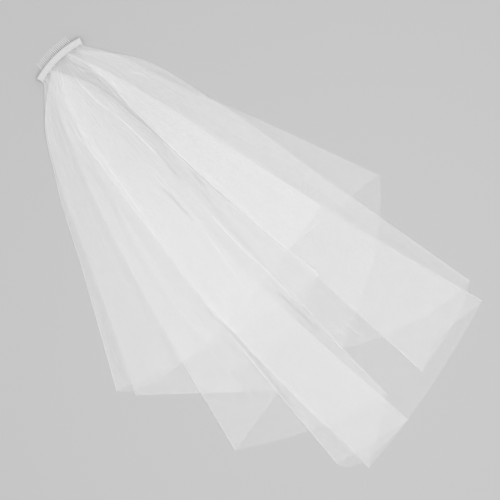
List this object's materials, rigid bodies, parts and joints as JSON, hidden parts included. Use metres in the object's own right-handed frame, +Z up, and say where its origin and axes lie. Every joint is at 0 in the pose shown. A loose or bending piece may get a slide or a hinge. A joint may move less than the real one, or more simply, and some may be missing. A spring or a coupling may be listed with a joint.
{
  "type": "bridal veil",
  "caption": "Two-tier tulle bridal veil laid flat in folds, its tiers gathered into a curved ribbon band on a hair comb.",
  "frame": {"origin": "centre of the object's box, on the surface that the veil lies on", "axes": "+Y along the veil from the hem to the comb, +X to the right seen from above with the comb at the top, +Z up"},
  "size_m": [0.6106, 0.941, 0.0233],
  "materials": {
    "comb_plastic": "clear moulded plastic",
    "satin_ribbon": "white satin ribbon, soft sheen",
    "tulle": "sheer white bridal tulle, matte"
  },
  "bodies": {
    "root": {"comb": "comb_plastic", "header_band": "satin_ribbon", "lower_tier": "tulle", "upper_tier": "tulle"}
  },
  "joints": []
}
